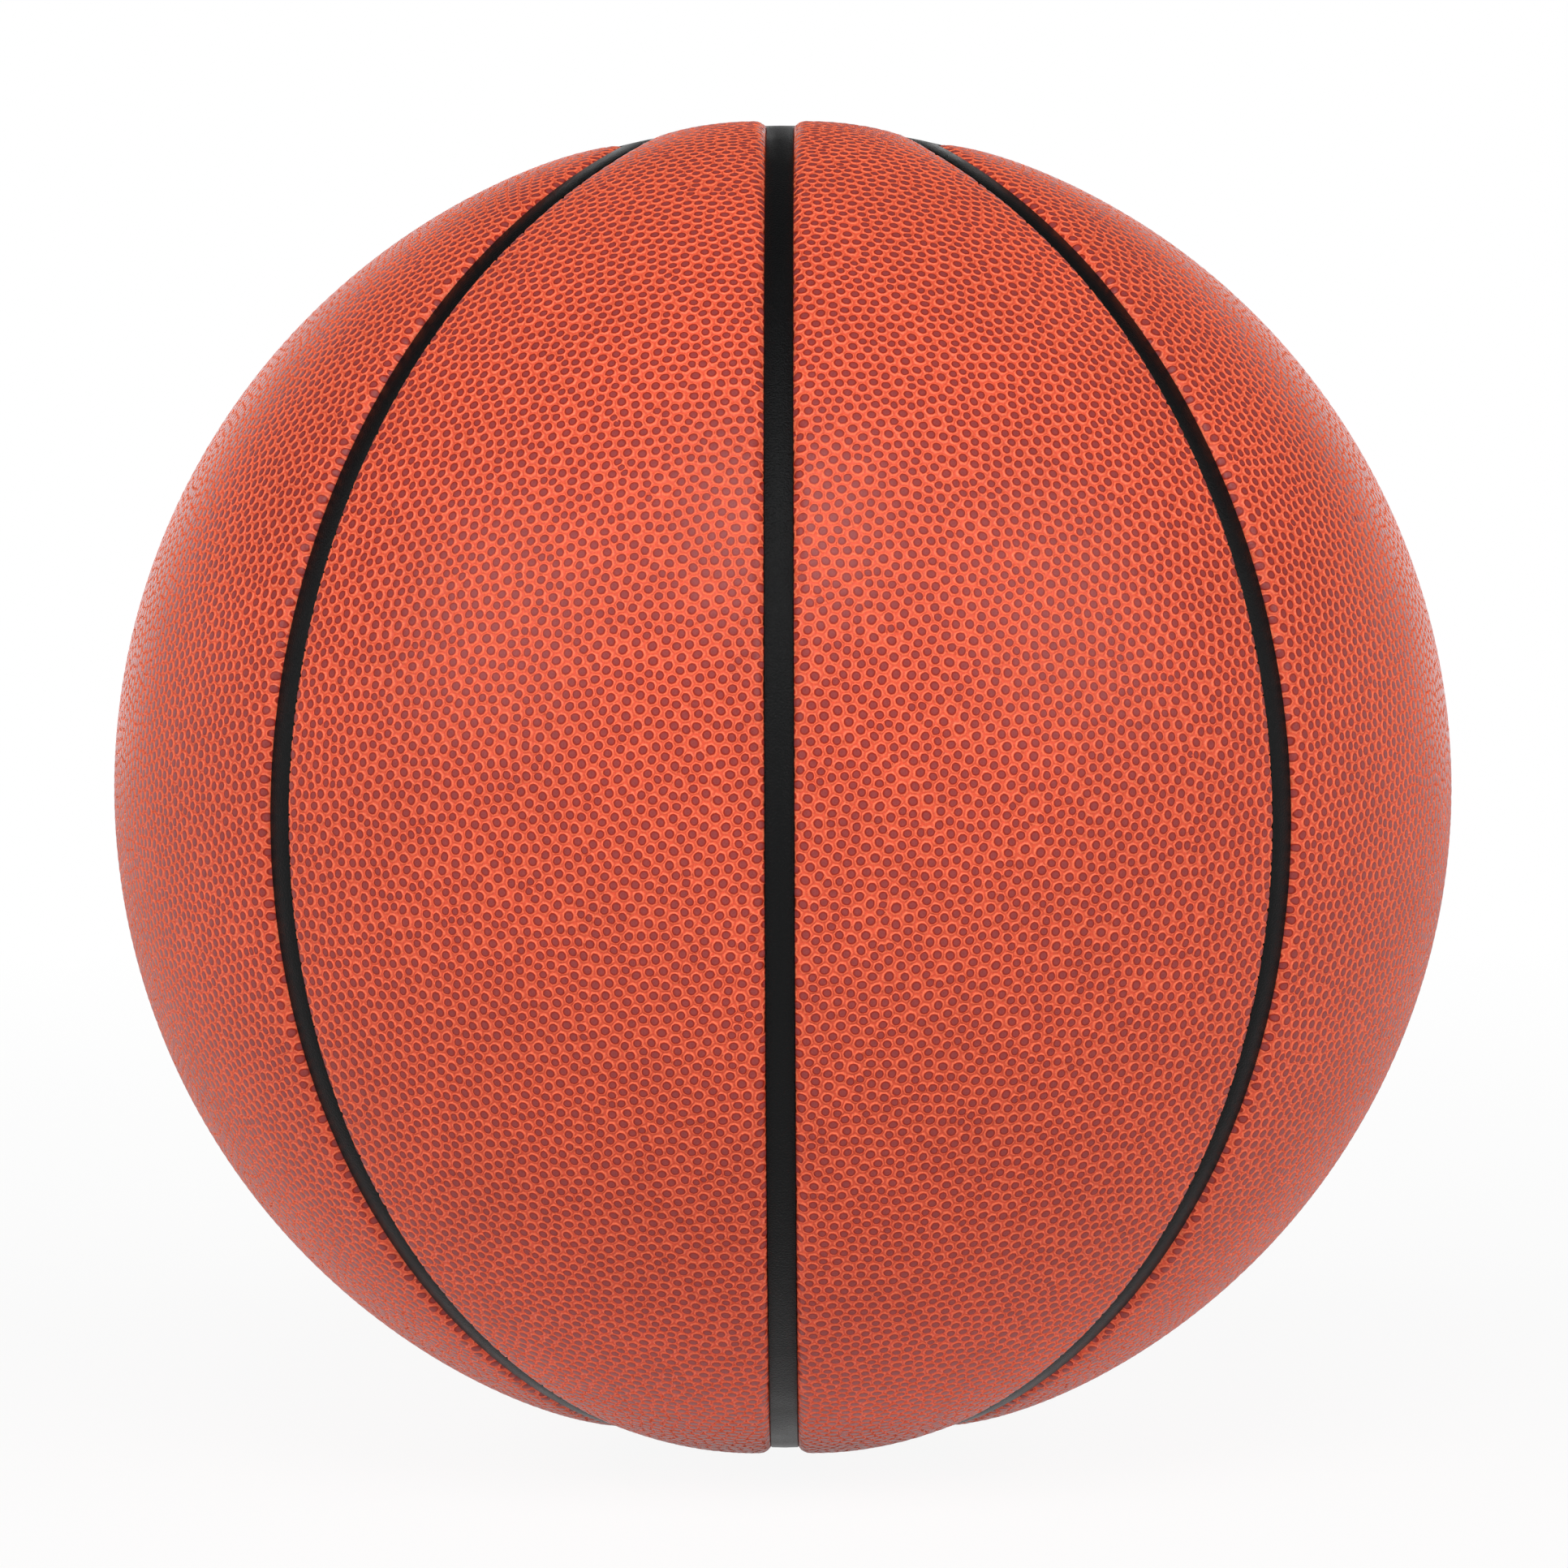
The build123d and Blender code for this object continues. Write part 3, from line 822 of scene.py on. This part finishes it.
def fine_fabric(name, base, pitch, roughness):
    """Foam cells or laid thread: a matte base whose noise of one pitch roughens the surface with bumps and
    darkens their hollows with a painted shade.
    """
    hollow_shade = 0.6  # brightness of the noise's hollows
    material, tree, place = new_material(name)
    cells = add_node(tree, "ShaderNodeTexNoise", {"Vector": place, "Scale": 1 / pitch, "Detail": 4.0})
    tone = add_node(tree, "ShaderNodeValToRGB", {"Fac": cells})
    # Painted shade: the colour in the bump's hollows, darkened from the base.
    dark = tuple(hollow_shade * channel for channel in base[:3]) + (1.0,)
    set_ramp(tone, [(0.3, dark), (0.65, base)])
    bump = add_node(tree, "ShaderNodeBump", {"Height": cells, "Strength": 0.6, "Distance": 0.2 * pitch})
    shader = add_node(tree, "ShaderNodeBsdfPrincipled", {
        "Base Color": tone, "Roughness": roughness, "Normal": bump,
    })
    add_node(tree, "ShaderNodeOutputMaterial", {"Surface": shader})
    return material


def dress(piece, material, slot, *nodes):
    """Give a new piece its material and body, and let it stand for CAD nodes. The slot is not used."""
    piece.data.materials.append(material)
    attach(piece, BODY)
    if nodes:
        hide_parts(*nodes)


def repaint(name, material):
    """Give a carried-over CAD node a material in all its slots."""
    mesh = frame["nodes"][name].data
    mesh.materials.clear()
    mesh.materials.append(material)


class AddCoverPanels(bpy.types.Operator):
    """Build the eight pebbled cover panels."""

    bl_idname = "basketball.add_cover_panels"
    bl_label = "Cover Panels"

    def execute(self, context):
        shape, colours = context.scene.ball_shape, context.scene.ball_colours
        leather = composite_leather(colours)
        for kind in KINDS:
            for number, (quarter, signs) in enumerate(QUARTERS.items()):
                has_hole = kind == "band" and quarter == VALVE_QUARTER
                seed = shape.seed + SEED_STEP * (2 * number + KINDS.index(kind))
                skin, faces = cover_panel(kind, has_hole, shape, seed)
                piece = build_mesh(f"pebbled_{kind}_{quarter}", skin["points"] * signs, faces, skin)
                dress(piece, leather, "cover_leather", f"{kind}_cover_{quarter}")
        return {"FINISHED"}


class AddInnerLayers(bpy.types.Operator):
    """Finish the carcass, the layers under it and the valve."""

    bl_idname = "basketball.add_inner_layers"
    bl_label = "Carcass, Layers and Valve"

    def execute(self, context):
        shape, colours = context.scene.ball_shape, context.scene.ball_colours
        rubber = moulded_rubber("moulded_channel_rubber", colours.rubber, 0.32 * MM)
        soft = moulded_rubber("moulded_valve_rubber", colours.rubber, 0.3 * MM)
        foam = fine_fabric("backing_foam_cells", colours.foam, 0.6 * MM, 0.9)
        thread = fine_fabric("wound_nylon_thread", colours.thread, 0.8 * MM, 0.7)
        patch = fine_fabric("rubberised_patch_fabric", colours.patch, 0.7 * MM, 0.8)
        places, faces = carcass_shell(shape)
        dress(build_mesh("channelled_carcass", places, faces), rubber, "channel_rubber", "carcass")
        repaint("bladder", rubber)
        repaint("thread_winding", thread)
        repaint("valve_patch", patch)
        repaint("valve_housing", soft)
        repaint("valve_plug", soft)
        for kind in KINDS:
            for quarter in QUARTERS:
                repaint(f"{kind}_foam_{quarter}", foam)
        return {"FINISHED"}


def outwards(azimuth, elevation):
    """Unit vector at an azimuth from the front, towards the right, and an elevation, in radians."""
    return Vector((sin(azimuth) * cos(elevation), -cos(azimuth) * cos(elevation), sin(elevation)))


def facing_ball(direction, away):
    """Matrix of an object that looks at the ball's centre from a direction and a distance in metres."""
    turned = (-direction).to_track_quat("-Z", "Y").to_matrix().to_4x4()
    return Matrix.Translation(away * direction) @ turned


def add_lamp(name, azimuth, elevation, away, size, watts):
    """Square area lamp that faces the ball's centre from a direction in degrees and a distance in metres."""
    lamp = bpy.data.lights.new(name, "AREA")
    lamp.size = size
    lamp.energy = watts
    holder = bpy.data.objects.new(name, lamp)
    holder.visible_camera = False
    holder.matrix_world = facing_ball(outwards(radians(azimuth), radians(elevation)), away)
    bpy.context.scene.collection.objects.link(holder)


def add_camera(scene, look):
    """Camera that shows the ball at the size and place that it has in the photograph.

    The lens follows from the ball's radius in pixels: the outline of a sphere at a distance of d radii is
    1 / root of (d^2 - 1) of the focal length.
    """
    camera = bpy.data.cameras.new("photo_camera")
    focal_pixels = look.ball_pixels * sqrt(look.distance**2 - 1)
    camera.sensor_fit = "HORIZONTAL"
    camera.sensor_width = SENSOR_WIDTH
    camera.lens = SENSOR_WIDTH * focal_pixels / IMAGE_SIDE
    camera.shift_x = (IMAGE_SIDE / 2 - look.ball_column) / IMAGE_SIDE
    camera.shift_y = (look.ball_row - IMAGE_SIDE / 2) / IMAGE_SIDE
    camera.clip_end = FARTHEST
    holder = bpy.data.objects.new("photo_camera", camera)
    direction = outwards(look.azimuth, look.elevation)
    holder.matrix_world = facing_ball(direction, look.distance * CROWN) @ Matrix.Rotation(look.roll, 4, "Z")
    scene.collection.objects.link(holder)
    scene.camera = holder


def shown_rays(tree):
    """Node that gives 1 for the rays that show the background: camera, glossy and transmission rays."""
    path = add_node(tree, "ShaderNodeLightPath").outputs
    shown = path["Is Camera Ray"]
    for ray in ("Is Glossy Ray", "Is Transmission Ray"):
        shown = add_node(tree, "ShaderNodeMath", {0: shown, 1: path[ray]}, operation="MAXIMUM")
    return shown


def studio_paper(colours):
    """Matte studio paper: shown as white, all but a small share near the ball that keeps its shadow."""
    material, tree, place = new_material("matte_studio_paper")
    paper = add_node(tree, "ShaderNodeBsdfDiffuse", {"Color": colours.floor})
    white = add_node(tree, "ShaderNodeEmission", {"Color": WHITE, "Strength": 1.0})
    reach = add_node(tree, "ShaderNodeVectorMath", {0: place}, operation="LENGTH").outputs["Value"]
    share = add_node(tree, "ShaderNodeMapRange", {
        "Value": reach, "From Min": 2 * CROWN, "From Max": 8 * CROWN, "To Min": 0.92, "To Max": 1.0,
    })
    part = add_node(tree, "ShaderNodeMath", {0: shown_rays(tree), 1: share}, operation="MULTIPLY")
    mixed = add_node(tree, "ShaderNodeMixShader", {0: part, 1: paper, 2: white})
    add_node(tree, "ShaderNodeOutputMaterial", {"Surface": mixed})
    return material


def add_bowl(colours):
    """Round pale floor whose rim bends up into a pale wall, open at the top: a flat run, a quarter round and
    a rise, turned once round the upright axis."""
    turn = np.linspace(0, pi / 2, BEND_POINTS)
    reach = np.concatenate([[FLOOR_HUB], FLOOR_RUN + FLOOR_BEND * np.sin(turn), [FLOOR_RUN + FLOOR_BEND]])
    height = np.concatenate([[0.0], FLOOR_BEND * (1 - np.cos(turn)), [WALL_TOP]]) - CROWN
    swing = np.linspace(0, 2 * pi, FLOOR_SIDES, endpoint=False)[:, None]
    across, along = np.cos(swing) * reach, np.sin(swing) * reach
    rows = np.stack([across, along, np.broadcast_to(height, across.shape)], 2)
    places = np.concatenate([rows.reshape(-1, 3), [[0.0, 0.0, -CROWN]]])
    number = np.arange(across.size).reshape(across.shape)
    after = np.roll(number, -1, 0)
    inner, outer = number[:, :-1].ravel(), number[:, 1:].ravel()
    next_inner, next_outer = after[:, :-1].ravel(), after[:, 1:].ravel()
    hub = np.full(FLOOR_SIDES, len(places) - 1)
    faces = np.concatenate([
        np.stack([inner, outer, next_outer], 1),
        np.stack([inner, next_outer, next_inner], 1),
        np.stack([hub, number[:, 0], after[:, 0]], 1),
    ])
    bowl = build_mesh("studio_bowl", places, faces)
    bowl.data.materials.append(studio_paper(colours))


def set_world(scene):
    """White world that fills the shadows a little."""
    world = bpy.data.worlds.new("studio_world")
    scene.world = world
    world.use_nodes = True
    back = world.node_tree.nodes["Background"].inputs
    back["Color"].default_value = WHITE
    back["Strength"].default_value = WORLD_LEVEL


class AddStage(bpy.types.Operator):
    """Set the floor, the lamps, the world and the camera."""

    bl_idname = "basketball.add_stage"
    bl_label = "Stage"

    def execute(self, context):
        scene = context.scene
        look = scene.studio_look
        add_bowl(scene.ball_colours)
        add_lamp("key_softbox", azimuth=0, elevation=46, away=1.8, size=0.9, watts=look.key_power)
        for side, sign in (("left", -1), ("right", 1)):
            beside, behind = 52 * sign, 160 * sign
            add_lamp(f"{side}_softbox", beside, elevation=28, away=2.0, size=1.1, watts=look.side_power)
            add_lamp(f"{side}_back_panel", behind, elevation=8, away=2.2, size=1.2, watts=look.back_power)
        set_world(scene)
        scene.view_settings.view_transform = "Standard"
        add_camera(scene, look)
        return {"FINISHED"}


class BasketballPanel(bpy.types.Panel):
    """Sidebar panel with the ball's sizes, colours and build steps."""

    bl_idname = "VIEW3D_PT_basketball"
    bl_label = "Basketball"
    bl_space_type = "VIEW_3D"
    bl_region_type = "UI"
    bl_category = "Basketball"

    def draw(self, context):
        for group in (context.scene.ball_shape, context.scene.ball_colours, context.scene.studio_look):
            for name in group.__annotations__:
                self.layout.prop(group, name)
        for step in STEPS:
            self.layout.operator(step.bl_idname)


STEPS = (AddCoverPanels, AddInnerLayers, AddStage)
GROUPS = {"ball_shape": BallShape, "ball_colours": BallColours, "studio_look": StudioLook}
CLASSES = (*GROUPS.values(), *STEPS, BasketballPanel)


def register():
    """Register the classes and hang the settings on the scene."""
    for item in CLASSES:
        bpy.utils.register_class(item)
    for name, group in GROUPS.items():
        setattr(bpy.types.Scene, name, PointerProperty(type=group))


def unregister():
    """Take the settings off the scene and unregister the classes."""
    for name in GROUPS:
        delattr(bpy.types.Scene, name)
    for item in reversed(CLASSES):
        bpy.utils.unregister_class(item)


def main():
    """Build the ball and its stage."""
    register()
    bpy.ops.basketball.add_cover_panels()
    bpy.ops.basketball.add_inner_layers()
    bpy.ops.basketball.add_stage()


if __name__ == "__main__":
    main()
